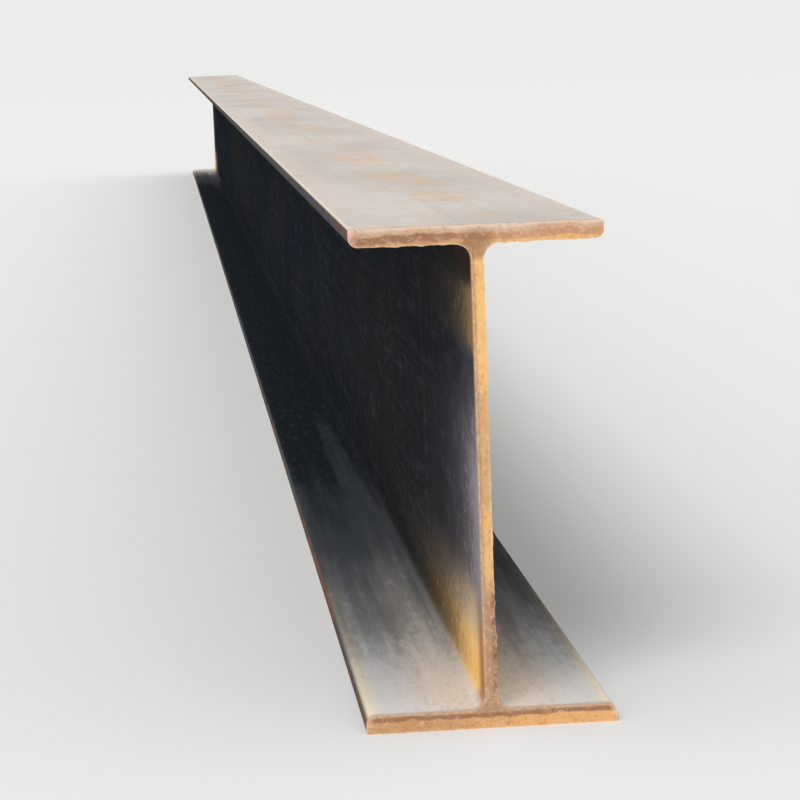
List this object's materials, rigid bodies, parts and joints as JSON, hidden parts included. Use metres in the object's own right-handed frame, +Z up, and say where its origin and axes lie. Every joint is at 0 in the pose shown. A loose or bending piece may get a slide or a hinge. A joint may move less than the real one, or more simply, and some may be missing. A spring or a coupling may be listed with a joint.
{
  "type": "steel h-beam",
  "caption": "Hot-rolled steel h-beam with parallel flanges, a thin web and rounded roots, sawn square at both ends; it spans openings and carries loads in frames and floors.",
  "frame": {"origin": "on the floor under the middle of the bottom flange, halfway along the beam", "axes": "+Y along the beam's length, +Z up the web from the bottom flange to the top flange, +X across the flanges; the end that the picture shows faces -Y"},
  "size_m": [0.125, 6, 0.25],
  "materials": {
    "rolled_steel": "matte"
  },
  "bodies": {
    "root": {"h_beam": "rolled_steel"}
  },
  "joints": []
}
